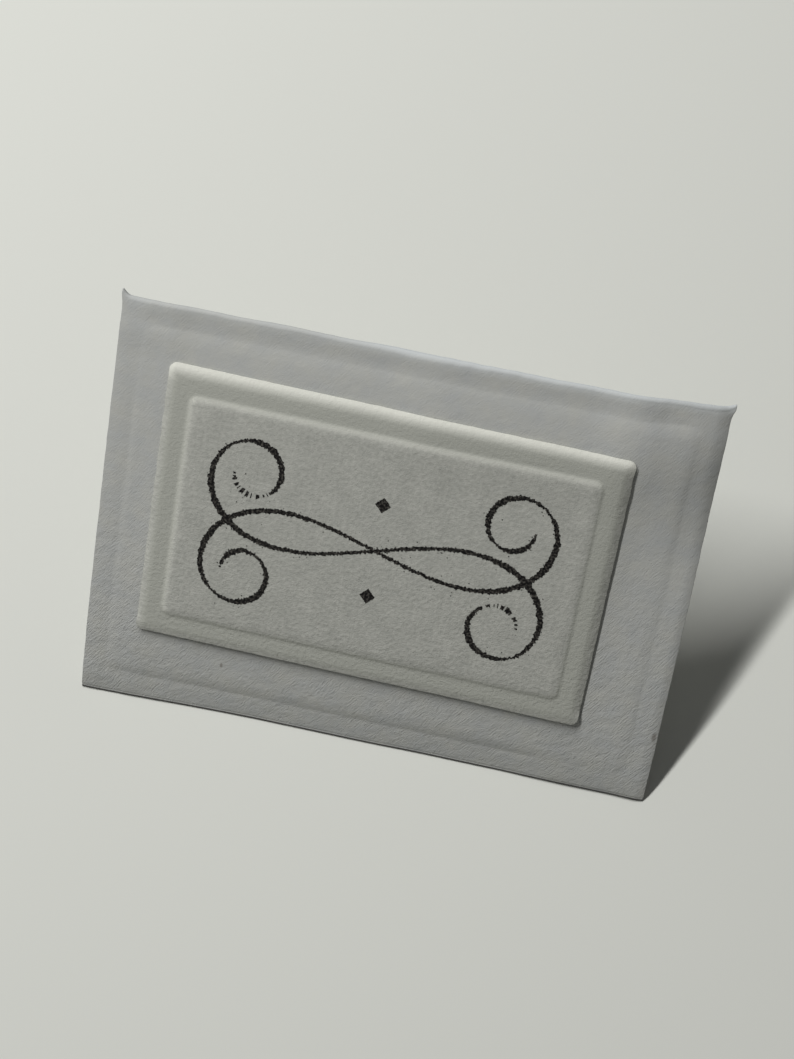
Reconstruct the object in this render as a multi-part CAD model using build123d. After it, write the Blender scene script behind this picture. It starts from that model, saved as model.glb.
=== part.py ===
from build123d import *
import math
import os

# Greeting card: one folded paper sheet with a thick plaque glued to its raised front leaf.
# Millimetres. X runs along the fold, Y away from the reader and Z up.
# The origin lies on the table under the middle of the back leaf.

# Sheet
card_width = 74.0
leaf_length = 52.0          # from the fold to the top rim, along the front leaf
back_leaf_length = 52.0     # from the fold to the free edge, along the table
paper_thickness = 0.35
leaf_slope = 40.0           # angle that the front leaf stands up from the back leaf
fold_inner_radius = 0.15
rim_inner_radius = 0.35     # the top edge is rolled back over this radius
rim_turn = 125.0            # how far the top edge rolls round, in degrees
rim_lip = 0.4               # straight end behind the roll

# Small points where the rolled edge flares at the two top corners
ear_length = 0.5
ear_lift = 0.9
ear_depth = 1.4             # how far down the leaf an ear starts
ear_shrink = 0.45           # size of an ear's tip against its root
ear_seat = 0.6              # length of an ear's root inside the sheet

# Raised field pressed into the front leaf, each margin measured to the foot of its step
field_margin_left = 1.6
field_margin_right = 2.6
field_margin_top = 2.0
field_margin_foot = 3.0
field_corner_radius = 2.8
field_rise = 0.2
field_ramp = 1.5            # width of the sloping step round the field

# Plaque
plaque_width = 57.2
plaque_height = 35.1
plaque_thickness = 0.7
plaque_corner_radius = 1.1
plaque_edge_round = 0.5
plaque_shift_x = -1.65      # from the middle of the front leaf
plaque_shift_y = 1.1
plaque_turn = -0.6          # glued on very slightly askew, in degrees
panel_margin = 3.2          # border between the plaque's edge and its raised panel
panel_rise = 0.28
panel_ramp = 0.8
panel_corner_radius = 1.2
panel_edge_round = 1.2

# Pen flourish
ink_thickness = 0.05
scroll_half_length = 49.0   # of one pen line, from its middle to its curled end
scroll_turn = 470.0         # how far each end curls round, in degrees
scroll_tightening = 2.3     # how suddenly the curl closes towards its end
scroll_lean = 17.0          # angle of the line where it crosses the middle
thin_stroke = 0.32
thick_stroke = 0.82
nib_angle = 32.0
tip_taper = 3.0             # length over which a stroke swells from its pointed tip
tip_width = 0.35            # width of a tip against the full stroke
scroll_steps = 40           # points on each half of a pen line
lozenge_size = 1.4
lozenge_offset = 6.0        # of the two lozenges above and below the crossing


def direction(degrees):
    """Unit vector in the side view, measured up from the table behind the card."""
    turn = math.radians(degrees)
    return Vector(math.cos(turn), math.sin(turn))


def bent_paper(corners, bend_radii, thickness):
    """Section of paper whose outer face runs through the corners and bends clockwise at each."""
    headings = [(end - start).normalized() for start, end in zip(corners, corners[1:])]
    inward = [Vector(heading.Y, -heading.X) for heading in headings]
    inner = [corners[0] + inward[0] * thickness]
    for corner, before, after in zip(corners[1:], inward, inward[1:]):
        inner.append(corner + (before + after) * (thickness / (1 + before.dot(after))))
    inner.append(corners[-1] + inward[-1] * thickness)
    outer_face = FilletPolyline(corners, radius=bend_radii)
    inner_face = FilletPolyline(inner, radius=[radius - thickness for radius in bend_radii])
    ends = [Line(corners[0], inner[0]), Line(corners[-1], inner[-1])]
    return make_face([outer_face, inner_face] + ends)


def rim_line():
    """Side view of the outer face: the virtual corners at the fold and the rim, and the lip's end."""
    fold_radius = fold_inner_radius + paper_thickness
    rim_radius = rim_inner_radius + paper_thickness
    fold_tangent = fold_radius * math.tan(math.radians((180.0 - leaf_slope) / 2))
    rim_tangent = rim_radius * math.tan(math.radians(rim_turn / 2))
    straight = leaf_length - fold_radius - rim_radius
    fold_corner = Vector(fold_radius - back_leaf_length / 2 - fold_tangent, 0)
    rim_corner = fold_corner + direction(leaf_slope) * (fold_tangent + straight + rim_tangent)
    lip_end = rim_corner + direction(leaf_slope - rim_turn) * (rim_tangent + rim_lip)
    return fold_corner, rim_corner, lip_end


def side_view():
    """Section of the folded sheet, the same all along the fold."""
    fold_corner, rim_corner, lip_end = rim_line()
    back_edge = Vector(back_leaf_length / 2, 0)
    bend_radii = [fold_inner_radius + paper_thickness, rim_inner_radius + paper_thickness]
    return bent_paper([back_edge, fold_corner, rim_corner, lip_end], bend_radii, paper_thickness)


def leaf_plane():
    """Plane on the outer face of the front leaf, at the middle of the leaf, facing outwards."""
    fold_radius = fold_inner_radius + paper_thickness
    fold_centre = Vector(fold_radius - back_leaf_length / 2, fold_radius)
    along = direction(leaf_slope)
    outwards = direction(leaf_slope + 90.0)
    middle = fold_centre + along * (leaf_length / 2 - fold_radius) + outwards * fold_radius
    return Plane(origin=(0, middle.X, middle.Y), x_dir=(1, 0, 0), z_dir=(0, outwards.X, outwards.Y))


def plaque_plane():
    """Plane under the plaque, on the raised field of the front leaf."""
    return leaf_plane() * Location((plaque_shift_x, plaque_shift_y, field_rise), (0, 0, plaque_turn))


def raised_pad(width, height, corner_radius, rise, ramp):
    """Low pad with sloping sides, standing on z = 0."""
    foot = RectangleRounded(width, height, corner_radius)
    crown = RectangleRounded(width - 2 * ramp, height - 2 * ramp, corner_radius - ramp / 2)
    return loft([foot, Pos(0, 0, rise) * crown], ruled=True)


def rim_section(size, lift):
    """Side view of the rolled edge alone, shrunk about the roll's centre and lifted along the leaf."""
    rim_radius = rim_inner_radius + paper_thickness
    rim_tangent = rim_radius * math.tan(math.radians(rim_turn / 2))
    along = direction(leaf_slope)
    _, rim_corner, lip_end = rim_line()
    centre = rim_corner - along * rim_tangent + direction(leaf_slope - 90.0) * rim_radius
    start = rim_corner - along * (rim_tangent + ear_depth)
    moved = [centre + along * lift + (point - centre) * size for point in (start, rim_corner, lip_end)]
    return bent_paper(moved, [rim_radius * size], paper_thickness * size)


def ears():
    """The two small points at the ends of the rolled top edge."""
    root = Plane.YZ.offset(card_width / 2 - ear_seat) * rim_section(1.0, 0.0)
    tip = Plane.YZ.offset(card_width / 2 + ear_length) * rim_section(ear_shrink, ear_lift)
    right = loft([root, tip], ruled=True)
    return [right, mirror(right, about=Plane.YZ)]


def card_sheet():
    folded = extrude(Plane.YZ * side_view(), amount=card_width / 2, both=True)
    field_width = card_width - field_margin_left - field_margin_right
    field_height = leaf_length - field_margin_top - field_margin_foot
    middle_x = (field_margin_left - field_margin_right) / 2
    middle_y = (field_margin_foot - field_margin_top) / 2
    pad = raised_pad(field_width, field_height, field_corner_radius, field_rise, field_ramp)
    raised = leaf_plane() * Pos(middle_x, middle_y, 0) * pad
    hollow = leaf_plane() * Pos(middle_x, middle_y, -paper_thickness) * pad
    return folded + raised - hollow + ears()


def plaque():
    body = extrude(RectangleRounded(plaque_width, plaque_height, plaque_corner_radius), plaque_thickness)
    body = fillet(body.faces().sort_by(Axis.Z)[-1].edges(), plaque_edge_round)
    panel = Pos(0, 0, plaque_thickness) * raised_pad(
        plaque_width - 2 * panel_margin,
        plaque_height - 2 * panel_margin,
        panel_corner_radius,
        panel_rise,
        panel_ramp,
    )
    pressed = body + panel
    brow = pressed.faces().sort_by(Axis.Z)[-1].edges()
    return plaque_plane() * fillet(brow, panel_edge_round)


def scroll_line(side):
    """Points and headings of one half of a pen line, from the middle to its curled end."""
    step = scroll_half_length / scroll_steps
    place = Vector(0, 0)
    line = []
    for i in range(scroll_steps + 1):
        part = i / scroll_steps
        turn = math.radians(scroll_lean - scroll_turn * part**scroll_tightening)
        line.append((place * side, turn))
        place += Vector(math.cos(turn), math.sin(turn)) * step
    return line


def stroke_width(turn, from_tip):
    """Width left by a slanted nib, tapering to a point at the tip."""
    press = abs(math.sin(turn - math.radians(nib_angle)))
    swell = min(1.0, from_tip / tip_taper)
    full = thin_stroke + (thick_stroke - thin_stroke) * press
    return full * (tip_width + (1.0 - tip_width) * swell)


def pen_scroll():
    """One pen line that curls round at both ends."""
    line = scroll_line(-1)[:0:-1] + scroll_line(1)
    upper = []
    lower = []
    for i, (place, turn) in enumerate(line):
        from_tip = min(i, len(line) - 1 - i) * scroll_half_length / scroll_steps
        half = stroke_width(turn, from_tip) / 2
        normal = Vector(-math.sin(turn), math.cos(turn))
        upper.append(place + normal * half)
        lower.append(place - normal * half)
    edges = [Spline(upper), Line(upper[-1], lower[-1]), Spline(lower), Line(lower[0], upper[0])]
    return extrude(make_face(edges), ink_thickness)


def ink_flourish():
    scroll = pen_scroll()
    twin = mirror(scroll, about=Plane.XZ)
    lozenge = extrude(Rectangle(lozenge_size, lozenge_size, rotation=45), ink_thickness)
    lozenges = [Pos(0, y, 0) * lozenge for y in (-lozenge_offset, lozenge_offset)]
    drawn = scroll + twin + lozenges
    return plaque_plane() * Pos(0, 0, plaque_thickness + panel_rise) * drawn


os.makedirs("parts", exist_ok=True)
pieces = {
    "card_sheet": card_sheet(),
    "plaque": plaque(),
    "ink_flourish": ink_flourish(),
}
for name, piece in pieces.items():
    export_step(piece, f"parts/{name}.step")
    print(name, len(piece.solids()), round(piece.volume, 2), piece.bounding_box())
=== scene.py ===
import math
import random

import bpy
import numpy as np
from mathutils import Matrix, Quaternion, Vector, noise


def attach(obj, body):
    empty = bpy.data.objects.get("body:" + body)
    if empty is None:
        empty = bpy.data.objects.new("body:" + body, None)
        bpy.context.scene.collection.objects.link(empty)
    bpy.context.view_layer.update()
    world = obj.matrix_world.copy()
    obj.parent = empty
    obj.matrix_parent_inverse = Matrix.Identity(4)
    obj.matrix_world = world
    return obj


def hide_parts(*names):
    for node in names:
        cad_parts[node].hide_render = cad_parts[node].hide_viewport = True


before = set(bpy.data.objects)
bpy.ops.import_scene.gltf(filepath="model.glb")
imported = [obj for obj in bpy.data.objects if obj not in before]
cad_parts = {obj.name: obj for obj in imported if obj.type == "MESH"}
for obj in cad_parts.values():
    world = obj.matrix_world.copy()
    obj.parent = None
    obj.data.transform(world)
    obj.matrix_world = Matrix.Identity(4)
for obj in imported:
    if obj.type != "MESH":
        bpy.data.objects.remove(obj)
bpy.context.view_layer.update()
print("frame loaded:", sorted(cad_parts))

# Greeting card: a felt-marked sheet folded once, with a pressed plaque on its front leaf
# and a pen flourish on the plaque. Lengths are in millimetres up to the moment a mesh is made.

metresPerMm = 0.001
mmPerUv = 100.0                          # flat paper to one UV unit
colourA, colourB, colourOut = 6, 7, 2    # sockets of a Mix node when it mixes colours


# Small helpers

def toLinear(hexColour):
    # "#rrggbb" as seen on a screen, to the linear numbers the shaders work in
    levels = [int(hexColour[i:i + 2], 16) / 255 for i in (1, 3, 5)]
    return tuple(v / 12.92 if v <= 0.04045 else ((v + 0.055) / 1.055) ** 2.4 for v in levels) + (1.0,)


def addNode(tree, kind, settings=None, links=None):
    # a setting is a property of the node or the value of one of its sockets, a link is socket -> source
    node = tree.nodes.new(kind)
    for name, value in (settings or {}).items():
        if isinstance(name, str) and hasattr(node, name):
            setattr(node, name, value)
        else:
            node.inputs[name].default_value = value
    for name, source in (links or {}).items():
        tree.links.new(source, node.inputs[name])
    return node


def smooth(value):
    # 0 to 1 with soft ends
    value = np.clip(value, 0.0, 1.0)
    return value * value * (3 - 2 * value)


def fadeIn(value, start, width):
    # 0 up to the start, 1 past the width beyond it, soft in between
    return smooth((value - start) / width)


def bell(value, middle, width):
    # 1 at the middle, fading away to both sides
    return np.exp(-((value - middle) / width) ** 2)


def edgeFall(distance, reach):
    # 1 at an edge, falling to 0 at the reach from it
    return np.clip(1 - distance / reach, 0, 1) ** 2


def softRamp(value, softness):
    # 0 below, the value itself above, rounded in between
    return (value + np.sqrt(value ** 2 + softness ** 2)) / 2


def rampBetween(value, start, end):
    # climbs by 1 per mm between the start and the end, each a place and its softness
    return softRamp(value - start[0], start[1]) - softRamp(value - end[0], end[1])


def waves(x, y, layers):
    # soft random hills; each layer is their height, their pitch in mm and a seed
    total = np.zeros(np.shape(x))
    for height, pitch, seed in layers:
        places = zip(np.ravel(x) / pitch, np.ravel(y) / pitch)
        hills = [noise.noise(Vector((a, b, seed))) for a, b in places]
        total = total + height * np.reshape(hills, np.shape(x))
    return total


def patch(form, x, up):
    # how high a form is that comes in softly across the leaf, up it or both
    height = form["by"]
    if "across" in form:
        height = height * fadeIn(x, *form["across"])
    if "up" in form:
        height = height * fadeIn(up, *form["up"])
    return height


def ringFaces(rings, count):
    # quads between rings of equally many points, each ring closed
    faces = []
    for r in range(rings - 1):
        for c in range(count):
            d = (c + 1) % count
            faces.append((r * count + c, r * count + d, (r + 1) * count + d, (r + 1) * count + c))
    return faces


def makePiece(name, places, faces, unrolled, material, smoothShaded=True):
    # places in mm; unrolled holds where each vertex lies on the flat paper, in mm, for the patterns
    mesh = bpy.data.meshes.new(name)
    mesh.from_pydata([tuple(p) for p in np.asarray(places) * metresPerMm], [], faces)
    mesh.validate()
    uvLayer = mesh.uv_layers.new(name="unrolled")
    vertexOf = np.zeros(len(mesh.loops), int)
    mesh.loops.foreach_get("vertex_index", vertexOf)
    uvLayer.data.foreach_set("uv", (np.asarray(unrolled)[vertexOf] / mmPerUv).ravel())
    mesh.polygons.foreach_set("use_smooth", [smoothShaded] * len(mesh.polygons))
    mesh.materials.append(material)
    piece = bpy.data.objects.new(name, mesh)
    bpy.context.scene.collection.objects.link(piece)
    return piece


# How the card is folded

card = {
    "width": 74.0,
    "leafLength": 52.0,          # from the fold to the top of the rim
    "slope": 40.0,               # degrees between the table and the front leaf
    "paper": 0.35,               # thickness of the sheet
    "foldRadius": 0.5,           # of the fold's outer face
    "rimRadius": 0.7,            # of the rolled rim's outer face, before its own unevenness
    "rimTurn": 125.0,            # degrees that the rim rolls round
    "rimLip": 0.4,               # straight end behind the roll
    # The front leaf isn't quite flat. In each form below "by" is how far it stands off the flat leaf,
    # "slope" is mm per mm, and "across" and "up" are where it starts, from the leaf's middle, and over
    # what width it comes in.
    "bow": {"by": 0.5, "power": 4.0},              # between fold and rim; the power bends it near the two
    "footLift": {"by": 0.35, "width": 9.0},        # extra rise next to the fold
    "topFall": {"slope": 0.06, "from": 18.0, "soft": 2.0},     # it bends over below the rim
    "leftBack": {"by": 0.9, "power": 1.5},         # the left top corner hangs back
    "leftCorner": {"by": 0.3, "across": (27.0, 7.0), "up": (18.5, 4.5)},    # and lifts; across is leftwards
    "rightLift": {"by": 0.4, "across": (-5.0, 9.0), "up": (9.5, 9.0)},      # the upper right part
    # beside the plaque it leans forward: slope, and the place and softness where that starts and ends
    "farLift": {"slopes": [(0.025, (2.0, 2.0), (22.0, 1.0)), (0.06, (15.0, 2.0), (21.5, 0.8))],
                "across": (20.0, 9.0)},
    # the right side hangs back: slope, place and softness; it grows to full between two places up the leaf
    "sideFall": {"slopes": [(0.14, 28.5, 1.5), (0.18, 33.2, 0.7)], "between": ((2.0, 1.5), (18.0, 1.5))},
    "marginFall": {"by": 0.4, "across": (24.0, 6.0), "fromFold": (0.0, 26.0)},    # right of the plaque
    "marginLean": {"slope": 0.045, "from": 27.0, "soft": 1.5, "up": (-4.0, 14.0)},
    "cornerFall": {"slope": 0.12, "from": 19.5, "soft": 1.0, "across": (18.0, 16.0)},    # right top corner
    "sideDroop": {"by": 0.45, "from": 22.0, "width": 15.0, "fromFold": (0.0, 9.0)},      # right side
}

slopeTurn = math.radians(card["slope"])
alongLeaf = np.array([0.0, math.cos(slopeTurn), math.sin(slopeTurn)])       # from the fold up to the rim
offLeaf = np.array([0.0, -math.sin(slopeTurn), math.cos(slopeTurn)])        # out of the front face
foldCentre = np.array([0.0, card["foldRadius"] - card["leafLength"] / 2, card["foldRadius"]])
leafMiddle = (foldCentre + alongLeaf * (card["leafLength"] / 2 - card["foldRadius"])
              + offLeaf * card["foldRadius"])


def onLeaf(x, up, out):
    # x to the right and up the leaf from its middle, out from its face
    x, up, out = np.broadcast_arrays(x, up, out)
    across = x[..., None] * np.array([1.0, 0, 0])
    return leafMiddle + across + up[..., None] * alongLeaf + out[..., None] * offLeaf


def leafBow(x, up):
    # how far the front leaf stands out of its plane
    halfX, halfUp = card["width"] / 2, card["leafLength"] / 2
    fromFold = up + halfUp
    bow, footLift, topFall = card["bow"], card["footLift"], card["topFall"]
    bowed = bow["by"] * (1 - np.abs(up / halfUp) ** bow["power"])
    bowed = bowed + footLift["by"] * fadeIn(fromFold, 0, footLift["width"])
    bowed = bowed - topFall["slope"] * softRamp(up - topFall["from"], topFall["soft"])
    leftBack, farLift = card["leftBack"], card["farLift"]
    hung = leftBack["by"] * np.clip(-x / halfX, 0, None) ** leftBack["power"] * fromFold / (2 * halfUp)
    risen = sum(slope * rampBetween(up, start, end) for slope, start, end in farLift["slopes"])
    lifted = patch(card["rightLift"], x, up) + patch(card["leftCorner"], -x, up)
    lifted = lifted + risen * fadeIn(x, *farLift["across"])
    sideFall, marginFall, marginLean = card["sideFall"], card["marginFall"], card["marginLean"]
    low, high = sideFall["between"]
    fallen = sum(slope * softRamp(x - start, soft) for slope, start, soft in sideFall["slopes"])
    fallen = fallen * rampBetween(up, low, high) / (high[0] - low[0])
    fallen = fallen + patch(marginFall, x, up) * fadeIn(fromFold, *marginFall["fromFold"])
    leaned = marginLean["slope"] * softRamp(x - marginLean["from"], marginLean["soft"])
    fallen = fallen + leaned * fadeIn(up, *marginLean["up"])
    cornerFall, sideDroop = card["cornerFall"], card["sideDroop"]
    cornered = cornerFall["slope"] * softRamp(up - cornerFall["from"], cornerFall["soft"])
    fallen = fallen + cornered * fadeIn(x, *cornerFall["across"])
    drooped = np.clip((x - sideDroop["from"]) / sideDroop["width"], 0, None) ** 2
    fallen = fallen + sideDroop["by"] * drooped * fadeIn(fromFold, *sideDroop["fromFold"])
    return bowed - hung + lifted - fallen


# Materials

def startMaterial(name, scales):
    # an empty material, its coordinates in mm on the flat paper, and the levels of its noises, each
    # from how often it changes to the mm, its detail and its roughness
    material = bpy.data.materials.new(name)
    material.use_nodes = True
    tree = material.node_tree
    tree.nodes.clear()
    place = addNode(tree, "ShaderNodeTexCoord")
    inMm = addNode(tree, "ShaderNodeMapping", {"Scale": (mmPerUv, mmPerUv, mmPerUv)},
                   {"Vector": place.outputs["UV"]}).outputs[0]
    levels = {}
    for noiseName, (perMm, detail, roughness) in scales.items():
        texture = addNode(tree, "ShaderNodeTexNoise",
                          {"Scale": perMm, "Detail": detail, "Roughness": roughness}, {"Vector": inMm})
        levels[noiseName] = texture.outputs["Fac"]
    return material, tree, inMm, levels


def endMaterial(tree, finish, layers, depth, reliefs):
    # other colours laid over the finish's own in turn, each over its share, then one relief on another,
    # each from its heights and how many mm they stand for, then the shader
    laid = bump = None
    for laidOver, share in layers:
        links = {0: share, colourA: laid.outputs[colourOut]} if laid else {0: share}
        laid = addNode(tree, "ShaderNodeMix", {"data_type": "RGBA", colourA: toLinear(finish["colour"]),
                                               colourB: toLinear(laidOver)}, links)
    for heights, distance in reliefs:
        links = {"Height": heights, "Normal": bump.outputs[0]} if bump else {"Height": heights}
        if depth:
            links["Strength"] = depth
        bump = addNode(tree, "ShaderNodeBump", {"Distance": distance * metresPerMm}, links)
    shader = addNode(tree, "ShaderNodeBsdfPrincipled",
                     {"Roughness": finish["roughness"], "IOR": finish["ior"],
                      "Specular IOR Level": finish["specular"]},
                     {"Base Color": laid.outputs[colourOut], "Normal": bump.outputs[0]})
    addNode(tree, "ShaderNodeOutputMaterial", None, {"Surface": shader.outputs[0]})


def addSpots(tree, inMm, fray, finish):
    # small stains with outlines frayed by the paper's fibres, as layers for endMaterial
    outside, inside = finish["spotOutline"]
    layers = []
    for across, up, halfLong, halfHigh in finish["spots"]:
        centred = addNode(tree, "ShaderNodeVectorMath", {"operation": "SUBTRACT", 1: (across, up, 0)},
                          {0: inMm})
        scaled = addNode(tree, "ShaderNodeVectorMath",
                         {"operation": "MULTIPLY", 1: (1 / halfLong, 1 / halfHigh, 1)},
                         {0: centred.outputs[0]})
        reach = addNode(tree, "ShaderNodeVectorMath", {"operation": "LENGTH"}, {0: scaled.outputs[0]})
        frayed = addNode(tree, "ShaderNodeMath", {"operation": "ADD"}, {0: reach.outputs["Value"], 1: fray})
        spot = addNode(tree, "ShaderNodeMapRange",
                       {"From Min": outside, "From Max": inside, "To Max": finish["spotStrength"]},
                       {"Value": frayed.outputs[0]})
        layers.append((finish["spotColour"], spot.outputs[0]))
    return layers


def addDepth(tree, inMm, finish):
    # the strength of the paper's relief, which changes on the way up
    lowEnd, highEnd = finish["strengthEnds"]
    lowStrength, highStrength = finish["strengths"]
    apart = addNode(tree, "ShaderNodeSeparateXYZ", None, {"Vector": inMm})
    depth = addNode(tree, "ShaderNodeMapRange",
                    {"From Min": lowEnd, "From Max": highEnd, "To Min": lowStrength, "To Max": highStrength},
                    {"Value": apart.outputs["Y"]})
    return depth.outputs[0]


felt = {
    "colour": "#aeb1b2",
    "paleColour": "#c0bfb6",
    "foldShadeColour": "#53524f",   # painted shade along the fold
    "rimHighlightColour": "#cacece",     # painted highlight on the rolled rim
    "cloudsPerMm": 0.3,          # paler patches
    "roughness": 0.92,
    "ior": 1.45,
    "specular": 0.25,
    # the felt's marks and the fibres, in mm; real fibres are finer and wouldn't show in the render
    "markPitch": 0.17,
    "markLength": 0.8,
    "markLean": 53.0,            # degrees from the fold
    "markDepth": 0.088,
    "pebblePitch": 1.1,
    "pebbleDepth": 0.11,
    "fibrePitch": 0.16,
    "fibreDepth": 0.07,
    # strength of this relief near the fold and above the middle, and between which heights it changes
    "strengths": (1.4, 0.42),
    "strengthEnds": (-23.0, 9.0),
    # stains: across and up from the leaf's middle, half length and half height, in mm
    "spots": [(36.5, -16.6, 0.3, 0.6), (-18.9, -18.95, 0.2, 0.34)],
    "spotColour": "#85817a",
    "spotStrength": 0.75,
    "spotOutline": (1.75, 1.1),  # where the stain begins and where it is full
}


def feltPaper():
    # Cotton paper, felt-marked and cold-pressed: dull, soft slanting ridges, cool white
    material, tree, inMm, levels = startMaterial("feltMarkedCottonPaper", {
        "fibres": (1 / felt["fibrePitch"], 3.0, 0.6), "clouds": (felt["cloudsPerMm"], 4.0, 0.6),
        "pebbles": (1 / felt["pebblePitch"], 1.5, 0.5)})
    leaned = addNode(tree, "ShaderNodeMapping",
                     {"vector_type": "TEXTURE", "Rotation": (0, 0, math.radians(felt["markLean"])),
                      "Scale": (felt["markLength"], felt["markPitch"], 1)}, {"Vector": inMm})
    marks = addNode(tree, "ShaderNodeTexNoise",
                    {"Scale": 1.0, "Detail": 2.0, "Roughness": 0.5, "Distortion": 0.25},
                    {"Vector": leaned.outputs[0]})
    layers = [(felt["paleColour"], levels["clouds"])] + addSpots(tree, inMm, levels["fibres"], felt)
    # painted shade along the fold and a painted highlight on the rim lie where the sheet's own attributes say
    for attribute, laidOver in (("paintedFoldShade", felt["foldShadeColour"]), ("rim", felt["rimHighlightColour"])):
        where = addNode(tree, "ShaderNodeAttribute", {"attribute_name": attribute})
        layers.append((laidOver, where.outputs["Fac"]))
    reliefs = [(levels["pebbles"], felt["pebbleDepth"]), (marks.outputs["Fac"], felt["markDepth"]),
               (levels["fibres"], felt["fibreDepth"])]
    endMaterial(tree, felt, layers, addDepth(tree, inMm, felt), reliefs)
    return material


pulp = {
    "colour": "#a0a19a",
    "warmColour": "#c1c1b9",
    "mottleEnds": (0.55, 1.45),  # of the two noises' sum, from the one colour to the other
    "highlightColour": "#dfdfd5",     # painted highlight on the rounded edge, strongest along its top
    "pressedColour": "#afb0a7",  # the border is pressed denser and greyer
    "cloudsPerMm": 0.35,         # warmer patches
    "roughness": 0.88,
    "ior": 1.45,
    "specular": 0.25,
    # the pressed grains and the fibres, in mm; real fibres are finer and wouldn't show in the render
    "grainPitch": 0.5,
    "grainDepth": 0.1,
    "fibrePitch": 0.17,
    "fibreDepth": 0.06,
    # strength of this relief along the foot and along the top, and between which heights it changes
    "strengths": (1.12, 0.62),
    "strengthEnds": (-15.0, 12.0),
    # specks: across and up from the plaque's middle, half length and half height, in mm
    "spots": [(-18.7, -14.3, 0.14, 0.1), (-9.9, -16.7, 0.13, 0.1), (9.9, -14.5, 0.16, 0.12)],
    "spotColour": "#6f6a60",
    "spotStrength": 0.8,
    "spotOutline": (1.75, 1.1),  # where the speck begins and where it is full
}


def pulpBoard():
    # Uncoated pulp board pressed in a die: dull, even fine grain, a slightly warm white
    material, tree, inMm, levels = startMaterial("pressedPulpBoard", {
        "grain": (1 / pulp["grainPitch"], 2.0, 0.5), "fibres": (1 / pulp["fibrePitch"], 2.0, 0.6),
        "clouds": (pulp["cloudsPerMm"], 5.0, 0.65)})
    patches = addNode(tree, "ShaderNodeMath", {"operation": "ADD"}, {0: levels["clouds"], 1: levels["grain"]})
    mottleStart, mottleEnd = pulp["mottleEnds"]
    share = addNode(tree, "ShaderNodeMapRange", {"From Min": mottleStart, "From Max": mottleEnd},
                    {"Value": patches.outputs[0]})
    layers = [(pulp["warmColour"], share.outputs[0])] + addSpots(tree, inMm, levels["fibres"], pulp)
    # the plaque's own attribute says where its painted highlight (X) and its pressed border (Y) are
    highlightsAndBorders = addNode(tree, "ShaderNodeAttribute", {"attribute_name": "zone"})
    split = addNode(tree, "ShaderNodeSeparateXYZ", None, {"Vector": highlightsAndBorders.outputs["Vector"]})
    layers += [(pulp["pressedColour"], split.outputs["Y"]), (pulp["highlightColour"], split.outputs["X"])]
    reliefs = [(levels["grain"], pulp["grainDepth"]), (levels["fibres"], pulp["fibreDepth"])]
    endMaterial(tree, pulp, layers, addDepth(tree, inMm, pulp), reliefs)
    return material


inkLook = {
    "colour": "#0b0a0a",
    "wornColour": "#5c5953",
    "roughness": 0.55,
    "ior": 1.45,
    "specular": 0.3,
    "wearPitch": 0.3,            # mm between the thin places, a little closer than the board's grains
    "wearEnds": (0.48, 0.68),    # of the noise's range, from solid ink to worn ink
    "depth": 0.01,               # mm of unevenness in the ink's skin
}


def pigmentInk():
    # Pigment ink on rough board: black where it is thick, greyer where the grain shows through
    wearScale = (1 / inkLook["wearPitch"], 3.0, 0.65)
    material, tree, _, levels = startMaterial("pigmentInk", {"wear": wearScale})
    wearStart, wearEnd = inkLook["wearEnds"]
    patchy = addNode(tree, "ShaderNodeMapRange", {"From Min": wearStart, "From Max": wearEnd},
                     {"Value": levels["wear"]})
    endMaterial(tree, inkLook, [(inkLook["wornColour"], patchy.outputs[0])], None,
                [(levels["wear"], inkLook["depth"])])
    return material


# The folded sheet

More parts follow.
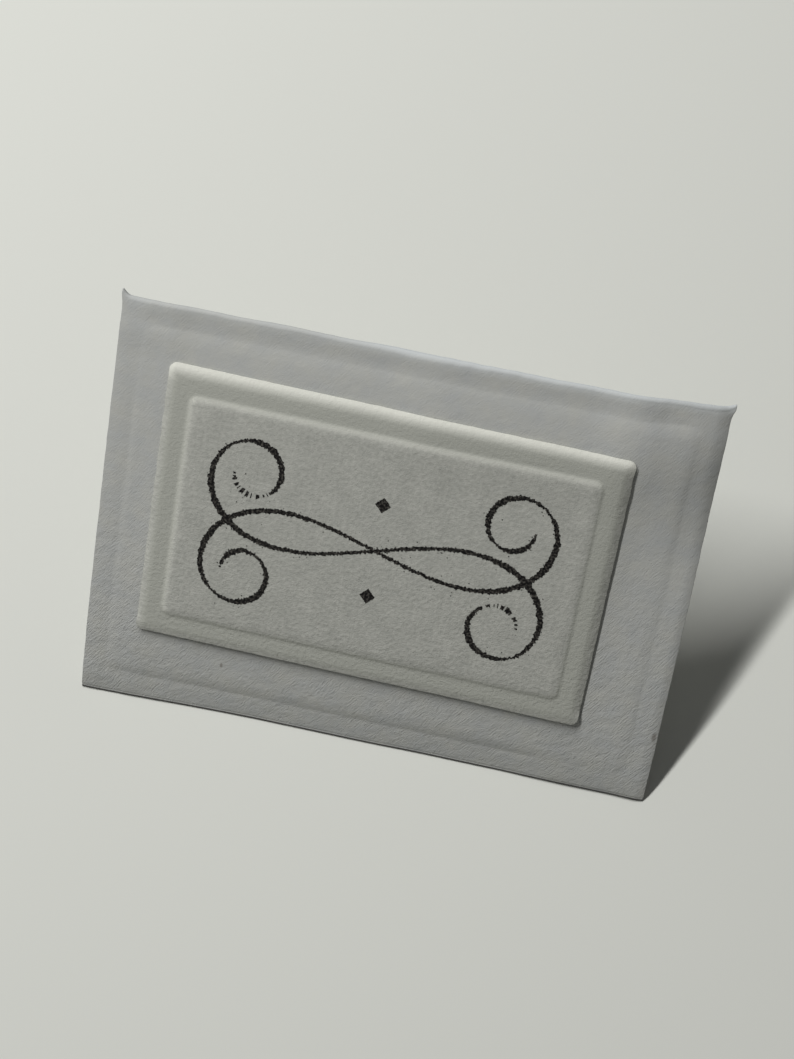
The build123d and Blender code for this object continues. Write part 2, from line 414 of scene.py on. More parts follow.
sheet = {
    # how finely it is divided
    "columns": (46, 102),        # in the outer part at each side, and between the two
    "sideWidth": 9.0,            # mm of that outer part
    "backRows": 22,
    "foldRows": 16,
    "leafRows": (46, 60, 46),    # in the lowest part of the leaf, its middle and its highest part
    "leafEnds": 0.14,            # share of the leaf in its lowest and in its highest part
    "rimRows": (14, 16),         # to the crown of the roll, and behind it
    "crownAt": 0.49,             # share of the roll's turn up to its crown
    # the field pressed up inside the margins: left, right, top, foot
    "fieldRises": (0.07, 0.13, 0.11, 0.3),
    "fieldRamps": (1.3, 1.6, 1.7, 1.9),
    "fieldMargins": (3.0, 3.15, 2.95, 3.3),
    "fieldCorner": 1.6,
    # where a step changes, as a share of its rise: less at the top of the right one and the right of the
    # foot's, more at the right of the top one
    "rightStep": {"by": -0.45, "up": (16.0, 5.0)},
    "topStep": {"by": 1.0, "across": (26.0, 4.0), "up": (15.0, 5.0)},
    "footStep": {"by": -0.7, "across": (17.0, 10.0)},
    "cornerRun": {"by": 0.25, "across": (27.0, 4.0)},    # the top step runs up towards the right corner
    # the top margin lifts again towards the rim, least at the left edge and not at all at the right end
    "topCurl": {"by": 0.24, "from": 0.3, "width": 2.6, "leftShare": 0.4, "fromLeft": (1.0, 3.0),
                "rightEnd": (26.0, 9.0)},
    # the right edge rolls back: by and within, low down and at the top
    "rightDroop": (0.3, 1.4, 0.48, 2.0),
    "rightDroopUp": (4.0, 16.0),
    "leftRise": {"by": 0.1, "across": (-33.2, 3.0), "end": (-28.0, 8.0)},    # between left step and plaque
    "leftGroove": {"by": 0.04, "at": 2.8, "width": 0.5, "end": (11.0, 6.0)},    # outside the left step
    "leftDroop": (0.08, 1.4),    # the left edge rolls back: by and within
    "footDroop": (0.28, 3.2),    # the leaf turns in towards the fold: by and within
    # the foot's droop is changed by these shares of it
    "footDroopMore": [{"by": 0.2, "across": (24.0, 8.0)}, {"by": -0.5, "across": (32.0, 4.0)}],
    # the foot's margin swells out near the fold's left end; across is leftwards
    "leftSwell": {"by": 0.12, "across": (27.0, 4.0), "fromFold": (0.0, 2.6)},
    "waves": [(0.035, 7.0, 4), (0.0175, 2.8, 13)],    # height, pitch and seed of the paper's waviness
    # the fold
    "foldBulge": (0.07, 0.7, 0.2),    # sharper than round by this share, where in its turn and how widely
    "foldShadeEnd": (0.76, 0.12),          # where in the fold's turn the painted shade ends
    "footLeft": {"by": 0.5, "from": 14.0, "width": 20.0, "power": 1.3},    # its left end, to the reader
    "footRight": (0.1, 8.0),          # its right part, away from the reader: by, and within
    "footSpread": (20.0, 6.0),        # it starts this far below the leaf's middle and is full at the fold
    "backSpread": 8,                  # power by which it fades along the back leaf
    # the rolled rim
    "rimSize": 0.8,              # of the roll's full radius, before its swells
    "rimSwell": (0.35, 0.5, 6.0),    # by, at and within: thickest near the middle
    "rimWaves": [(0.2, 4.0, 2.0)],
    "rimSqueeze": (0.85, 0.5, 0.14),    # the roll tightens by this share behind its crown, and the lip's end
    "ragged": [(0.13, 6.5, 5.0), (0.0455, 1.3, 6.0)],    # height, pitch and seed of the torn edge
    "raggedFrom": (24.3, 1.0),
    "endReach": 1.1,             # length of the rim's two small points
    "endShrink": 0.3,            # the roll is tighter there by this share
    "endPower": 1.5,             # the higher, the more the point stands up at its very end
    "earLeft": (0.25, 0.8),      # how far the points reach out and up
    "earRight": (0.35, 0.35),
    "rimHighlightFrom": (1.45, 1.8),     # mm below the top where the painted highlight on the rim starts, and its soft width
    "rimHighlightShare": 0.3,            # of it at the left end, and all of it past the next place and width
    "rimHighlightAcross": (-14.0, 12.0),
    # the cut edges
    "cutInset": 0.08,            # the edge's rounding: inwards, and twice through the paper's thickness
    "cutDepths": (0.05, 0.27),
    "backInset": 0.12,           # how much narrower the back face is
    "columnInset": 0.03,         # of the last column from the cut edge, and its gap to the one before
    "endGap": 0.04,
    "edgeWaves": [(0.05, 1.4, 7.0), (0.02, 0.35, 3.0)],
    "edgePower": 60,             # keeps that unevenness at the very edges
}


def leafRelief(x, up):
    # height of the front face over the flat leaf
    halfX, halfUp = card["width"] / 2, card["leafLength"] / 2
    left, right, top, foot = x + halfX, halfX - x, halfUp - up, up + halfUp
    marginLeft, marginRight, marginTop, marginFoot = sheet["fieldMargins"]
    topLine = top - marginTop + patch(sheet["cornerRun"], x, up)
    insets = [left - marginLeft, right - marginRight, topLine, foot - marginFoot]
    nearX, nearUp = np.minimum(insets[0], insets[1]), np.minimum(insets[2], insets[3])
    corner = sheet["fieldCorner"]
    cornerReach = np.hypot(np.maximum(corner - nearX, 0), np.maximum(corner - nearUp, 0))
    inCorner = (nearX < corner) & (nearUp < corner)
    inset = np.where(inCorner, corner - cornerReach, np.minimum(nearX, nearUp))
    # near a corner the neighbouring sides' rises and ramps blend
    leastShare = 0.001
    shares = [np.maximum(corner - value, leastShare) ** 2 for value in insets]
    leftRise, rightRise, topRise, footRise = sheet["fieldRises"]
    rises = (leftRise,
             rightRise * (1 + patch(sheet["rightStep"], x, up)),
             topRise * (1 + patch(sheet["topStep"], x, up)),
             footRise * (1 + patch(sheet["footStep"], x, up)))
    rise = sum(share * value for share, value in zip(shares, rises)) / sum(shares)
    ramp = sum(share * value for share, value in zip(shares, sheet["fieldRamps"])) / sum(shares)
    height = leafBow(x, up) - rise * edgeFall(inset, ramp)

    topCurl = sheet["topCurl"]
    curled = topCurl["leftShare"] + (1 - topCurl["leftShare"]) * fadeIn(left, *topCurl["fromLeft"])
    curled = curled * (1 - fadeIn(x, *topCurl["rightEnd"]))
    height += topCurl["by"] * smooth(1 - (top - topCurl["from"]) / topCurl["width"]) * curled

    high = fadeIn(up, *sheet["rightDroopUp"])
    lowDroop, lowReach, highDroop, highReach = sheet["rightDroop"]
    reach = lowReach + (highReach - lowReach) * high
    height -= (lowDroop + (highDroop - lowDroop) * high) * edgeFall(right, reach)

    leftRise, leftGroove = sheet["leftRise"], sheet["leftGroove"]
    height += patch(leftRise, x, up) * (1 - fadeIn(x, *leftRise["end"]))
    groove = leftGroove["by"] * bell(left, leftGroove["at"], leftGroove["width"])
    height -= groove * (1 - fadeIn(up, *leftGroove["end"]))
    leftDroop, leftReach = sheet["leftDroop"]
    height -= leftDroop * edgeFall(left, leftReach)

    footDroop, footReach = sheet["footDroop"]
    more = sum(patch(form, x, up) for form in sheet["footDroopMore"])
    height -= footDroop * edgeFall(foot, footReach) * (1 + more)
    height += patch(sheet["leftSwell"], -x, up) * fadeIn(foot, *sheet["leftSwell"]["fromFold"])
    return height + waves(x, up, sheet["waves"])


def sheetRows():
    # each row is a zone of the section and how far through it the row lies
    rows = [("back", i / sheet["backRows"]) for i in range(sheet["backRows"])]
    rows += [("fold", i / sheet["foldRows"]) for i in range(sheet["foldRows"])]
    low, middle, high = sheet["leafRows"]
    ends, crown = sheet["leafEnds"], sheet["crownAt"]
    rows += [("leaf", ends * i / low) for i in range(low)]
    rows += [("leaf", ends + (1 - 2 * ends) * i / middle) for i in range(middle)]
    rows += [("leaf", 1 - ends + ends * i / high) for i in range(high)]
    front, behind = sheet["rimRows"]
    rows += [("rim", crown * i / front) for i in range(front)]
    rows += [("rim", crown + (1 - crown) * (i / behind) ** 2) for i in range(behind)]
    rows += [("lip", part) for part in (0.0, 0.5, 1.0)]
    return rows


def sheetColumns():
    # closer together near the two cut edges
    side, middle = sheet["columns"]
    half = card["width"] / 2 - sheet["columnInset"]
    inner = half - sheet["sideWidth"]
    right = np.append(np.linspace(inner, half - sheet["endGap"], side), half)
    return np.concatenate([-right[::-1], np.linspace(-inner, inner, middle + 2)[1:-1], right])


def sectionPoint(zone, part, x, rimRadius):
    # place and outward normal on the outer face, how far along the face, and how far up the leaf
    width = np.ones_like(x)
    halfLeaf = card["leafLength"] / 2
    foldRadius = card["foldRadius"]
    if zone == "back":
        y = halfLeaf - part * (2 * halfLeaf - foldRadius)
        place = np.stack([x, y * width, 0 * width], 1)
        normal = np.tile([0.0, 0, -1], (len(x), 1))
        run = (y - foldRadius + halfLeaf) * -width
        return place, normal, run, run * 0 - halfLeaf
    if zone == "fold":
        turn = math.radians(270 - part * (180 - card["slope"]))
        normal = np.tile([0.0, math.cos(turn), math.sin(turn)], (len(x), 1))
        bulge, bulgeAt, bulgeWidth = sheet["foldBulge"]
        place = foldCentre + normal * foldRadius * (1 + bulge * bell(part, bulgeAt, bulgeWidth))
        place[:, 0] = x
        return place, normal, width * part * foldRadius, width * 0 - halfLeaf
    if zone == "leaf":
        up = foldRadius + (card["leafLength"] - foldRadius - rimRadius) * part
        place = onLeaf(x, up - halfLeaf, 0 * width)
        return place, np.tile(offLeaf, (len(x), 1)), up, up - halfLeaf
    # the roll, and the lip behind it
    rolled = part if zone == "rim" else 1.0
    turn = math.radians(card["slope"] + 90 - rolled * card["rimTurn"])
    normal = np.tile([0.0, math.cos(turn), math.sin(turn)], (len(x), 1))
    squeeze, squeezeFrom, squeezeWidth = sheet["rimSqueeze"]
    radius = rimRadius * (1 - squeeze * fadeIn(part, squeezeFrom, squeezeWidth))
    place = onLeaf(x, halfLeaf - rimRadius, -rimRadius) + normal * radius[:, None]
    if zone == "rim":
        run = card["leafLength"] - rimRadius + rimRadius * part * math.radians(card["rimTurn"])
    else:
        place = place + np.array([0.0, math.sin(turn), -math.cos(turn)]) * card["rimLip"] * part
        run = card["leafLength"] + rimRadius + card["rimLip"] * part
    return place, normal, run, halfLeaf - rimRadius


def makeCardSheet():
    columns = sheetColumns()
    halfWidth = card["width"] / 2
    # one loop round the paper in each row: front face, right cut edge, back face, left cut edge
    back = columns * (1 - sheet["backInset"] / halfWidth)
    cutIn = halfWidth - sheet["cutInset"]
    shallow, deep = sheet["cutDepths"]
    loopX = np.concatenate([columns, [halfWidth, cutIn], back[::-1], [-cutIn, -halfWidth]])
    loopDepth = np.concatenate([0 * columns, [shallow, deep], 0 * columns + card["paper"], [deep, shallow]])
    side = np.sign(loopX)
    nearEnd = np.clip((np.abs(loopX) - halfWidth + sheet["endReach"]) / sheet["endReach"], 0, 1) ** 2
    swell, swellAt, swellWidth = sheet["rimSwell"]
    rimSwell = swell * bell(loopX, swellAt, swellWidth) + waves(loopX, loopX * 0, sheet["rimWaves"])
    rimRadius = card["rimRadius"] * (sheet["rimSize"] + rimSwell) * (1 - sheet["endShrink"] * nearEnd)
    ragged = waves(loopX, loopX * 0, sheet["ragged"])
    earOut, earUp = (np.where(side > 0, sheet["earRight"][i], sheet["earLeft"][i]) for i in (0, 1))
    # the fold runs a little towards the reader at its left end
    footLeft, (footRight, rightWidth) = sheet["footLeft"], sheet["footRight"]
    leftRun = np.clip((-loopX - footLeft["from"]) / footLeft["width"], 0, 1) ** footLeft["power"]
    footRun = footLeft["by"] * leftRun - footRight * smooth(loopX / rightWidth)
    rimHighlightAcross = sheet["rimHighlightShare"] + (1 - sheet["rimHighlightShare"]) * fadeIn(loopX, *sheet["rimHighlightAcross"])
    rimHighlightBelow, rimHighlightWidth = sheet["rimHighlightFrom"]
    raggedStart, raggedWidth = sheet["raggedFrom"]
    spreadStart, spreadWidth = sheet["footSpread"]
    edgeSide = side * 20      # far enough apart for the two edges' waves to differ
    places, unrolled, foldShades, rimHighlights = [], [], [], []
    for zone, part in sheetRows():
        place, normal, run, up = sectionPoint(zone, part, loopX, rimRadius)
        relief = leafRelief(loopX, up)
        if zone == "back":
            relief = relief * 0
        elif zone == "fold":
            relief = relief * part
        # pulled up and out near the top, raggedly, most of all at its two ends
        top = np.clip((up - raggedStart) / raggedWidth, 0, 1) ** 2 * (zone in ("leaf", "rim", "lip"))
        pulledUp = top * (nearEnd ** sheet["endPower"] * earUp + ragged)
        place = place + relief[:, None] * offLeaf + pulledUp[:, None] * alongLeaf
        place = place - normal * loopDepth[:, None]
        place[:, 0] += side * nearEnd ** 2 * top * earOut
        low = part ** sheet["backSpread"] if zone == "back" else fadeIn(-up, spreadStart, spreadWidth)
        place[:, 1] -= low * footRun
        place[:, 2] = np.maximum(place[:, 2], 0.0)
        edgeRun = waves(edgeSide, run, sheet["edgeWaves"])
        place[:, 0] += edgeRun * (np.abs(loopX) / halfWidth) ** sheet["edgePower"]
        places.append(place)
        unrolled.append(np.stack([loopX, run - card["leafLength"] / 2], 1))
        # painted shade along the fold: full low in its turn, gone higher up
        foldShaded = 1 - fadeIn(part, *sheet["foldShadeEnd"]) if zone == "fold" else 0.0
        foldShades.append(np.full(len(loopX), foldShaded))
        # painted highlight near the top of the rolled rim
        rimHighlights.append(smooth((run - card["leafLength"] + rimHighlightBelow) / rimHighlightWidth) * rimHighlightAcross)
    count, rows = len(loopX), len(places)
    faces = ringFaces(rows, count)
    wide = len(columns)
    for r, flip in ((0, True), (rows - 1, False)):
        # the free edges: front column to back column
        for c in range(wide - 1):
            behind = 2 * wide + 1 - c
            quad = (r * count + c, r * count + c + 1, r * count + behind - 1, r * count + behind)
            faces.append(quad[::-1] if flip else quad)
        faces.append(tuple(r * count + i for i in (wide - 1, wide, wide + 1, wide + 2)))
        faces.append(tuple(r * count + i for i in (2 * wide + 1, 2 * wide + 2, 2 * wide + 3, 0)))
    piece = makePiece("cardSheet", np.concatenate(places), faces, np.concatenate(unrolled), feltPaper())
    # the first attribute is painted shade along the fold, the second a painted highlight on the rim
    for name, values in (("paintedFoldShade", foldShades), ("rim", rimHighlights)):
        attribute = piece.data.attributes.new(name, "FLOAT", "POINT")
        attribute.data.foreach_set("value", np.concatenate(values))
    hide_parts("card_sheet")
    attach(piece, "root")
    print("sheet folded:", len(faces), "faces")


makeCardSheet()


# The plaque

plaque = {
    "width": 57.2,
    "height": 35.1,
    "thickness": 0.7,
    "shift": (-1.65, 1.1),    # from the middle of the leaf
    "turn": -0.6,             # degrees
    "seat": 0.2,              # height of the field under it
    "corner": 0.95,
    "leastCorner": 0.22,
    # the pressed edge slopes away over this width and by this much, less by a share along the foot
    "browReach": 1.3,
    "browFall": 0.5,
    "browPower": 1.6,
    "footShare": 0.7,
    "footFall": 0.06,
    # the raised panel; its step has a steep foot and a soft brow, each a share of the rise and a width
    "panelMargin": 3.0,
    "panelCorner": 1.2,
    "panelRise": 0.28,
    "panelSteps": ((0.2, 0.4), (0.8, 1.5)),
    # how its outline departs from a rectangle
    "topReach": 0.2,          # its top edge stands a little out and its foot in
    "footTuck": 0.3,
    "footEase": (0.5, 0.4, 0.5),    # the tuck is less by this share at the right: from, over (half widths)
    "topLean": 0.15,          # its top edge is lower at the right end and higher at the left
    "edgeBand": (2.2, 1.2),   # how far in the top's and the foot's own shapes start, and their soft width
    "edgeFade": 1.5,          # mm over which the outline's unevenness dies away inwards
    "edgeWaves": [(0.05, 1.6, 11), (0.025, 0.5, 11)],    # height, pitch and seed
    "faceWaves": [(0.012, 2.2, 5.0)],
    # the painted highlight: strength and width round the edge and along its top, then along the
    # panel's top and left step, which face the light, with the step's place and width
    "highlightEdge": (0.15, 0.6),
    "highlightTop": (0.95, 0.85),
    "highlightSteps": (0.42, 0.35),
    "highlightStepAt": (0.45, 0.35),
    "borderEnds": (0.4, 0.1, 0.6),    # the pressed border: its start, its end past the margin, soft width
    # how finely it is divided: rings round the edge's curve (in degrees), over the border, over the
    # panel's step and inside it, then points along a side, along an end and round a corner
    "edgeRings": (10, 91, 8),
    "borderRings": (0.2, 3.0, 0.22),
    "stepRings": (3.05, 5.1, 0.1),
    "innerRings": (5.2, 0.25, 34),
    "points": (190, 116, 8),
    "sideWidth": 0.3,         # a point this near to a ring's top or left side belongs to it
}


def onPlaque(x, up, out):
    turn = math.radians(plaque["turn"])
    acrossLeaf = x * math.cos(turn) - up * math.sin(turn) + plaque["shift"][0]
    upLeaf = x * math.sin(turn) + up * math.cos(turn) + plaque["shift"][1]
    return onLeaf(acrossLeaf, upLeaf, out + plaque["seat"] + leafBow(acrossLeaf, upLeaf))


def plaqueHeight(inset, footward):
    # height over the plaque's foot, by the distance in from its outline; footward is 1 along its lower side
    outer = 1 - min(inset / plaque["browReach"], 1.0)
    fall = plaque["browFall"] * (1 - plaque["footShare"] * footward)
    body = plaque["thickness"] - fall * outer ** plaque["browPower"] - plaque["footFall"] * footward * outer
    step = inset - plaque["panelMargin"]
    risen = sum(share * (1 - edgeFall(step, width)) for share, width in plaque["panelSteps"])
    return body + plaque["panelRise"] * risen


def plaqueInsets():
    # foot and side first, then rings going inwards
    reach = plaque["browReach"]
    first, last, count = plaque["innerRings"]
    borderStart, borderEnd, borderGap = plaque["borderRings"]
    insets = [0.0, 0.0] + [reach * (1 - math.cos(math.radians(a))) for a in range(*plaque["edgeRings"])]
    insets += list(np.arange(reach + borderStart, borderEnd, borderGap))
    insets += list(np.arange(*plaque["stepRings"]))
    return insets + list(np.linspace(first, plaque["height"] / 2 - last, count))


def roundedOutline(halfX, halfUp, corner):
    # counter-clockwise from the right side's foot; the same number of points for any size
    perSide, perEnd, perCorner = plaque["points"]
    points = []
    starts = [((halfX, -halfUp + corner), (halfX, halfUp - corner), perEnd, 0),
              ((halfX - corner, halfUp), (-halfX + corner, halfUp), perSide, 90),
              ((-halfX, halfUp - corner), (-halfX, -halfUp + corner), perEnd, 180),
              ((-halfX + corner, -halfUp), (halfX - corner, -halfUp), perSide, 270)]
    for (x0, y0), (x1, y1), count, angle in starts:
        for i in range(count):
            part = i / count
            points.append((x0 + (x1 - x0) * part, y0 + (y1 - y0) * part))
        centreX = x1 - corner * math.cos(math.radians(angle))
        centreY = y1 - corner * math.sin(math.radians(angle))
        for i in range(perCorner):
            turn = math.radians(angle + 90 * i / perCorner)
            points.append((centreX + corner * math.cos(turn), centreY + corner * math.sin(turn)))
    return np.array(points)


def plaqueHighlightAndBorder(inset, footward, topward, topSide, leftSide):
    # how strong the painted highlight along the edge and the steps is, and how pressed the border is, for the
    # board's colours
    edgeStrength, edgeWidth = plaque["highlightEdge"]
    topStrength, topWidth = plaque["highlightTop"]
    stepTop, stepLeft = plaque["highlightSteps"]
    stepAt, stepWidth = plaque["highlightStepAt"]
    start, end, soft = plaque["borderEnds"]
    margin = plaque["panelMargin"]
    # painted highlight: round the edge, strongest along the top, and along the panel's top and left steps;
    # none along the foot
    highlight = edgeStrength * bell(inset, 0, edgeWidth) + topStrength * bell(inset, 0, topWidth) * topward
    highlight = highlight * (1 - footward)
    highlight = highlight + bell(inset, margin + stepAt, stepWidth) * (stepTop * topSide + stepLeft * leftSide)
    border = fadeIn(inset, start, soft) * (1 - fadeIn(inset, margin + end, soft))
    return np.stack([highlight, 0 * highlight + border, 0 * highlight], 1)


def makePlaque():
    halfX, halfUp = plaque["width"] / 2, plaque["height"] / 2
    least, margin, near = plaque["leastCorner"], plaque["panelMargin"], plaque["sideWidth"]
    bandFrom, bandWidth = plaque["edgeBand"]
    ease, easeFrom, easeWidth = plaque["footEase"]
    rings, unrolled, highlightsAndBorders = [], [], []
    for ring, inset in enumerate(plaqueInsets()):
        raised = ring > 0      # the first ring lies on the sheet
        corner = max(plaque["corner"] - inset, least)
        if inset > margin - near:
            corner = max(plaque["panelCorner"] - (inset - margin), least)
        outline = roundedOutline(halfX - inset, halfUp - inset, corner)
        x, up = outline[:, 0], outline[:, 1]
        footward = fadeIn(-up, halfUp - bandFrom, bandWidth)
        topward = fadeIn(up, halfUp - bandFrom, bandWidth)
        topSide = (up > halfUp - inset - near) * 1.0
        leftSide = (x < near + inset - halfX) * 1.0
        fade = math.exp(-inset / plaque["edgeFade"])
        outline = outline * (1 + (waves(x, up, plaque["edgeWaves"]) * fade / halfUp)[:, None])
        tucked = plaque["footTuck"] * footward * (1 - ease * fadeIn(x / halfX, easeFrom, easeWidth))
        reached = (plaque["topReach"] - plaque["topLean"] * x / halfX) * topward
        outline[:, 1] += fade * (tucked + reached)
        heights = plaqueHeight(inset, footward) + waves(outline[:, 0], outline[:, 1], plaque["faceWaves"])
        rings.append(onPlaque(outline[:, 0], outline[:, 1], heights * raised))
        unrolled.append(outline)
        highlightsAndBorders.append(plaqueHighlightAndBorder(inset, footward, topward, topSide, leftSide))
    count = len(rings[0])
    faces = ringFaces(len(rings), count)
    faces.append(tuple(range((len(rings) - 1) * count, len(rings) * count)))
    faces.append(tuple(range(count))[::-1])
    piece = makePiece("plaqueBoard", np.concatenate(rings), faces, np.concatenate(unrolled), pulpBoard())
    # this attribute carries the painted highlight (X) and the pressed border (Y)
    zone = piece.data.attributes.new("zone", "FLOAT_VECTOR", "POINT")
    zone.data.foreach_set("vector", np.concatenate(highlightsAndBorders).ravel())
    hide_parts("plaque")
    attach(piece, "root")
    print("plaque pressed:", len(faces), "faces")


makePlaque()


# The pen flourish

flourish = {
    "halfLength": 49.0,       # of one pen line, from its middle to its curled end
    "turn": 470.0,            # degrees that each end curls round
    "tightening": 2.3,        # how suddenly the curl closes
    "lean": 17.0,             # degrees of the line where it crosses the middle
    "thin": 0.32,
    "thick": 0.82,
    "nib": 32.0,              # degrees
    "taper": 3.0,             # length over which a stroke swells from its tip
    "tip": 0.35,              # width of a tip against the full stroke
    "lozenge": 1.4,
    "lozengeOffset": 6.0,
    "lozengePoints": 48,
    "lozengeRagged": 0.05,
    "height": 0.03,           # of the ink over the panel
    "twinLift": 0.004,        # the one line lies this much over the middle height and its twin under it
    "step": 0.11,             # mm between the ragged edge's points
    "pressure": (0.94, 0.2, 1.7, 3.3),    # mean width, its change, how often it changes to the mm, seed
    "ragged": 0.06,
    "sawPitch": 0.2,          # mm between the teeth where the ink has crept along the fibres
    "sawDepth": 0.2,
    "sawRows": (3.7, 7.4),    # seeds of the two edges' teeth
    "least": 0.1,             # a stroke thinner than this leaves no ink
    "dotted": 6.5,            # two of the four ends break up into dots over this length
    "dotPitch": 0.26,
    "dotLevel": 0.1,          # the higher, the more of those ends is inked
    "dotSeed": 5.0,
    # the spatters beside the lines: how many, how far away, their radii and how uneven they are
    "spatters": 260,
    "spatterSpread": 0.75,
    "spatterSizes": (0.035, 0.1),
    "spatterShapes": (0.6, 1.2),
    "spatterPoints": 6,
    "spatterLift": 0.008,
    "seed": 21,
}


def penPath(side, mirrored):
    # points of one half of a pen line: place, heading and length left to its tip
    steps = int(flourish["halfLength"] / flourish["step"])
    x = y = 0.0
    path = []
    for i in range(steps + 1):
        turn = math.radians(flourish["lean"] - flourish["turn"] * (i / steps) ** flourish["tightening"])
        toTip = flourish["halfLength"] - i * flourish["step"]
        path.append((x * side, y * side * mirrored, turn * mirrored, toTip))
        x += math.cos(turn) * flourish["step"]
        y += math.sin(turn) * flourish["step"]
    return path


def strokeHalf(x, y, turn, toTip, mirrored):
    # half the width that a slanted nib leaves, tapered to the tip, by how hard it presses
    press = abs(math.sin(turn * mirrored - math.radians(flourish["nib"])))
    half = (flourish["thin"] + (flourish["thick"] - flourish["thin"]) * press) / 2
    swell = min(1.0, toTip / flourish["taper"])
    mean, change, often, seed = flourish["pressure"]
    half *= flourish["tip"] + (1 - flourish["tip"]) * swell
    return half * (mean + change * noise.noise(Vector((x * often, y * often, seed))))


def makeFlourish():
    rng = random.Random(flourish["seed"])
    places, faces, flat = [], [], []
    top = plaque["thickness"] + plaque["panelRise"] + flourish["height"]

    def addPatch(outline, lift=0.0):
        start = len(flat)
        flat.extend(outline)
        places.extend([top + lift] * len(outline))
        faces.append(tuple(range(start, start + len(outline))))

    strokes = []
    for mirrored in (1, -1):
        line = penPath(-1, mirrored)[:0:-1] + penPath(1, mirrored)
        strokes += [(x, y) for x, y, turn, toTip in penPath(-1, mirrored) + penPath(1, mirrored)]
        previous = None
        for i, (x, y, turn, toTip) in enumerate(line):
            half = strokeHalf(x, y, turn, toTip, mirrored)
            along = i * flourish["step"] / flourish["sawPitch"]
            teeth = [noise.noise(Vector((along, row, mirrored))) for row in flourish["sawRows"]]
            upper = half + teeth[0] * flourish["sawDepth"] + rng.uniform(-1, 1) * flourish["ragged"]
            lower = half + teeth[1] * flourish["sawDepth"] + rng.uniform(-1, 1) * flourish["ragged"]
            inDots = Vector((x / flourish["dotPitch"], y / flourish["dotPitch"], flourish["dotSeed"]))
            breaksUp = mirrored > 0 and toTip < flourish["dotted"]
            if breaksUp and noise.noise(inDots) > flourish["dotLevel"]:
                previous = None
                continue
            sideX, sideY = -math.sin(turn), math.cos(turn)
            edge = ((x + sideX * upper, y + sideY * upper), (x - sideX * lower, y - sideY * lower))
            if previous and upper + lower > flourish["least"]:
                addPatch([previous[1], edge[1], edge[0], previous[0]], flourish["twinLift"] * mirrored)
            previous = edge
        print("pen line drawn, side", mirrored)
    for i in range(flourish["spatters"]):
        x, y = rng.choice(strokes)
        away, turn = rng.gauss(0, flourish["spatterSpread"]), rng.uniform(0, 2 * math.pi)
        x, y = x + away * math.cos(turn), y + away * math.sin(turn)
        size = rng.uniform(*flourish["spatterSizes"])
        outline = []
        for corner in range(flourish["spatterPoints"]):
            turn = 2 * math.pi * corner / flourish["spatterPoints"]
            outline.append((x + size * rng.uniform(*flourish["spatterShapes"]) * math.cos(turn),
                            y + size * rng.uniform(*flourish["spatterShapes"]) * math.sin(turn)))
        addPatch(outline, flourish["spatterLift"])
    for y in (-flourish["lozengeOffset"], flourish["lozengeOffset"]):
        half = flourish["lozenge"] / math.sqrt(2)
        outline = []
        for i in range(flourish["lozengePoints"]):
            turn = 2 * math.pi * i / flourish["lozengePoints"]
            reach = half / (abs(math.cos(turn)) + abs(math.sin(turn)))
            reach += rng.uniform(-1, 1) * flourish["lozengeRagged"]
            outline.append((reach * math.cos(turn), y + reach * math.sin(turn)))
        addPatch(outline)
    flat = np.array(flat)
    piece = makePiece("inkFlourish", onPlaque(flat[:, 0], flat[:, 1], np.array(places)), faces, flat,
                      pigmentInk(), smoothShaded=False)
    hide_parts("ink_flourish")
    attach(piece, "root")
    print("flourish inked:", len(faces), "patches")


makeFlourish()


# Floor, light and camera

studio = {
    "floorColour": "#d9dad3",
    "floorRoughness": 0.85,
    "floorSpecular": 0.2,
    "floorHalf": 3.0,           # metres, as the four below
    "floorGap": 0.00002,        # under the card, so that the two faces don't share a plane
    "lampPlace": (-0.298, 0.176, 0.7),
    "lampRun": (0.287, 0.546, 0.0),
    "lampWidth": 0.05,
    "lampPower": 6.2,           # watts
    "skyColour": "#f4f5f5",
    "skyLevel": 0.105,
    "backdropColour": "#d8d9d4",
}

camera = {
    "azimuth": 14.234,       # degrees
    "elevation": 69.231,
    "roll": -1.903,
    "distance": 223.25,      # mm from the point it looks at
    "look": (-1.45, 3.76, 0.0),
    "lens": 56.09,
    "longSide": 36.0,        # mm of the sensor
    "clip": (0.01, 20.0),    # metres
}


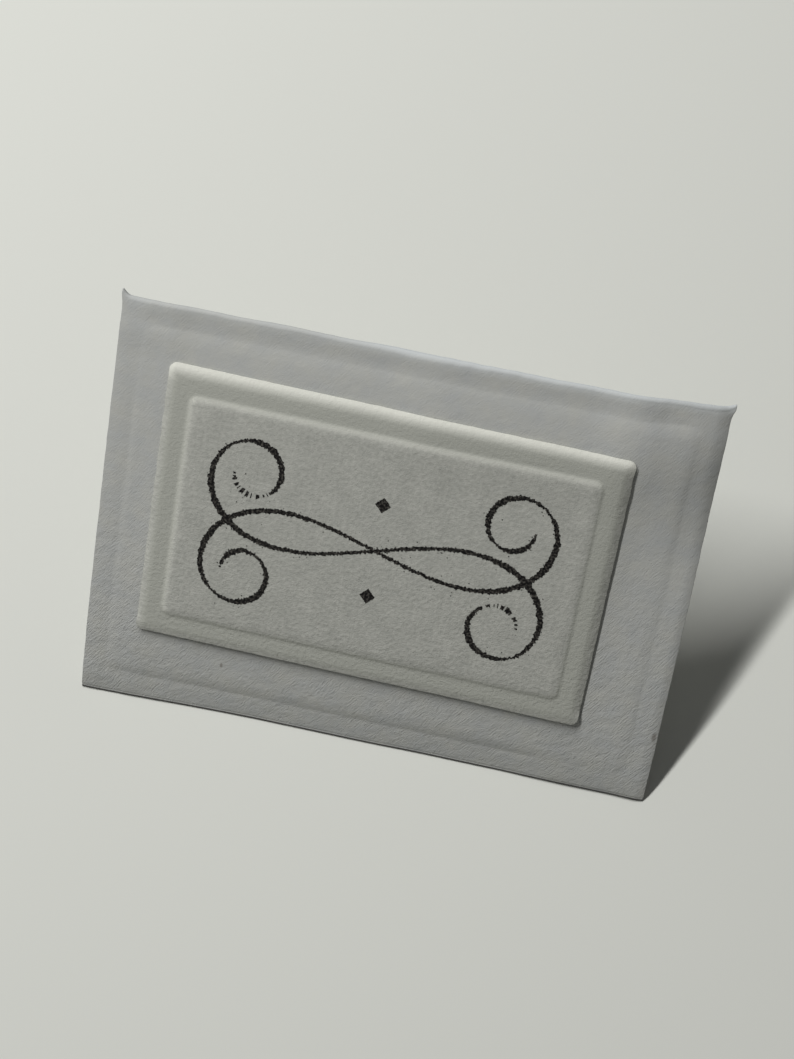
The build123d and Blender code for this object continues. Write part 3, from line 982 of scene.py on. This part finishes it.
def makeStudio():
    material = bpy.data.materials.new("paleStudioFloor")
    material.use_nodes = True
    shader = material.node_tree.nodes["Principled BSDF"]
    shader.inputs["Base Color"].default_value = toLinear(studio["floorColour"])
    shader.inputs["Roughness"].default_value = studio["floorRoughness"]
    shader.inputs["Specular IOR Level"].default_value = studio["floorSpecular"]
    half = studio["floorHalf"]
    mesh = bpy.data.meshes.new("studioFloor")
    corners = [(-half, -half, 0), (half, -half, 0), (half, half, 0), (-half, half, 0)]
    mesh.from_pydata(corners, [], [(0, 1, 2, 3)])
    mesh.materials.append(material)
    floor = bpy.data.objects.new("studioFloor", mesh)
    floor.location.z = -studio["floorGap"]
    bpy.context.scene.collection.objects.link(floor)

    run = Vector(studio["lampRun"])
    lamp = bpy.data.lights.new("stripLamp", "AREA")
    lamp.shape = "RECTANGLE"
    lamp.size = run.length
    lamp.size_y = studio["lampWidth"]
    lamp.energy = studio["lampPower"]
    lampObject = bpy.data.objects.new("stripLamp", lamp)
    lampObject.location = studio["lampPlace"]
    lampObject.rotation_euler = (0, 0, math.atan2(run.y, run.x))
    bpy.context.scene.collection.objects.link(lampObject)

    world = bpy.data.worlds.new("softRoom")
    bpy.context.scene.world = world
    world.use_nodes = True
    tree = world.node_tree
    tree.nodes.clear()
    seen = addNode(tree, "ShaderNodeLightPath")
    room = addNode(tree, "ShaderNodeBackground",
                   {"Color": toLinear(studio["skyColour"]), "Strength": studio["skyLevel"]})
    backdrop = addNode(tree, "ShaderNodeBackground",
                       {"Color": toLinear(studio["backdropColour"]), "Strength": 1.0})
    mixed = addNode(tree, "ShaderNodeMixShader", None,
                    {0: seen.outputs["Is Camera Ray"], 1: room.outputs[0], 2: backdrop.outputs[0]})
    addNode(tree, "ShaderNodeOutputWorld", None, {"Surface": mixed.outputs[0]})
    print("studio set")


def makeCamera():
    azimuth, elevation = math.radians(camera["azimuth"]), math.radians(camera["elevation"])
    back = Vector((math.sin(azimuth) * math.cos(elevation), -math.cos(azimuth) * math.cos(elevation),
                   math.sin(elevation)))
    view = bpy.data.cameras.new("photoView")
    view.lens = camera["lens"]
    view.sensor_width = camera["longSide"]
    view.clip_start, view.clip_end = camera["clip"]
    viewObject = bpy.data.objects.new("photoView", view)
    viewObject.location = (Vector(camera["look"]) + back * camera["distance"]) * metresPerMm
    viewObject.rotation_mode = "QUATERNION"
    upright = (-back).to_track_quat("-Z", "Y")
    viewObject.rotation_quaternion = upright @ Quaternion((0, 0, 1), math.radians(camera["roll"]))
    bpy.context.scene.collection.objects.link(viewObject)
    bpy.context.scene.camera = viewObject
    print("camera placed")


makeStudio()
makeCamera()
bpy.context.scene.view_settings.view_transform = "Standard"
